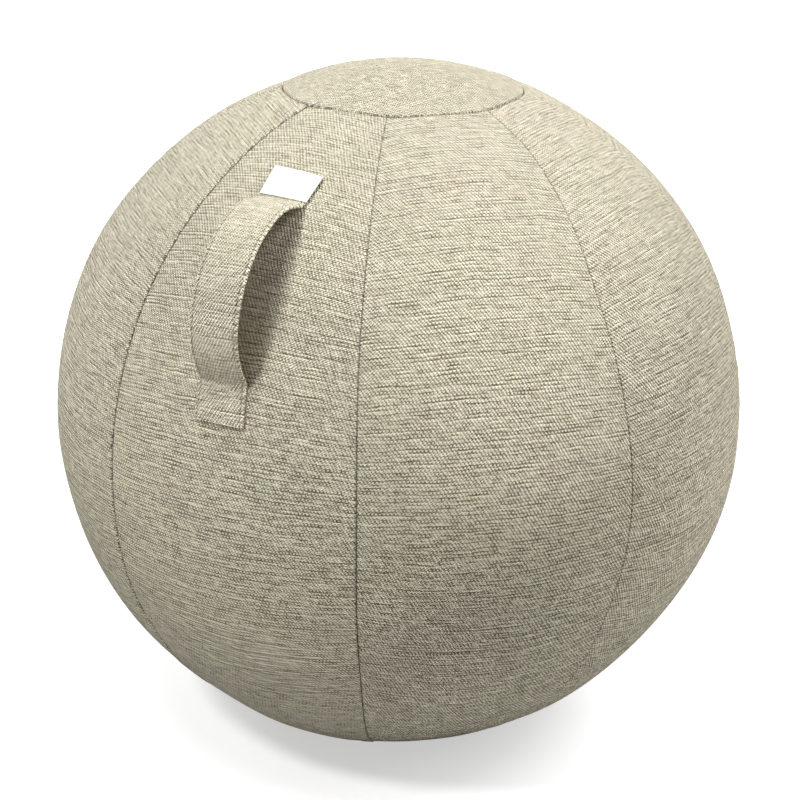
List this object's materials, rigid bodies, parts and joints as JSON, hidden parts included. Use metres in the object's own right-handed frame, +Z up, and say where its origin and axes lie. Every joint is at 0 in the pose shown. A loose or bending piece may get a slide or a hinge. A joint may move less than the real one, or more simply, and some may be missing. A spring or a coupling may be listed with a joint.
{
  "type": "covered balance ball seat",
  "caption": "Inflatable sitting ball in a zipped, gored fabric cover with a round cap, a sewn carry handle and a flat ringed foot.",
  "frame": {"origin": "centre of the flat foot, on the floor", "axes": "+Z up through the centre of the round cap; -Y towards the middle of the carry handle; +X to its right"},
  "size_m": [0.65, 0.65, 0.6304],
  "materials": {
    "cover_cloth": "coarse greige melange basket weave",
    "strap_cloth": "the cover's cloth, folded and topstitched",
    "label_cloth": "bare white woven tape",
    "foot_cloth": "dark hard-wearing coated cloth",
    "ring_strip": "plain lining cloth",
    "ring_hose": "matt plastic hose",
    "ball_vinyl": "satin grey vinyl",
    "valve_plastic": "satin white plastic",
    "zip_tape": "woven zip tape",
    "zip_coil": "nylon coil",
    "zip_metal": "satin enamelled die-cast metal"
  },
  "bodies": {
    "root": {"cover_panel_1": "cover_cloth", "cover_panel_2": "cover_cloth", "cover_panel_3": "cover_cloth", "cover_panel_4": "cover_cloth", "cover_panel_5": "cover_cloth", "cover_panel_6": "cover_cloth", "cover_panel_7": "cover_cloth", "cover_panel_8": "cover_cloth", "top_cap": "cover_cloth", "base_panel": "foot_cloth", "inner_ball": "ball_vinyl", "valve_boss": "valve_plastic", "valve_plug": "valve_plastic", "base_ring": "ring_hose", "ring_sleeve": "ring_strip", "handle_end_upper": "strap_cloth", "handle_end_lower": "strap_cloth", "handle_label": "label_cloth", "zipper_tape_left": "zip_tape", "zipper_tape_right": "zip_tape", "zipper_chain_left": "zip_coil", "zipper_chain_right": "zip_coil", "zipper_stop_lower": "zip_metal", "zipper_stops_upper": "zip_metal"},
    "handle": {"handle_grip": "strap_cloth"},
    "slider": {"zipper_slider": "zip_metal"},
    "pull": {"zipper_pull": "zip_metal"}
  },
  "joints": [
    {"name": "handle_swing", "type": "hinge", "parent": "root", "child": "handle", "pos_m": [0, -0.25679, 0.48588], "axis": [0, 0.575, 0.8181], "range_deg": [-35, 35], "stiffness_Nm_per_rad": 0.25},
    {"name": "zip_slide", "type": "hinge", "parent": "root", "child": "slider", "pos_m": [0, 0, 0.3054], "axis": [0.9239, 0.3827, 0], "range_deg": [0, 97]},
    {"name": "pull_swing", "type": "hinge", "parent": "slider", "child": "pull", "pos_m": [-0.07988, 0.19284, 0.05122], "axis": [-0.9239, -0.3827, 0], "range_deg": [-128, 48]}
  ]
}
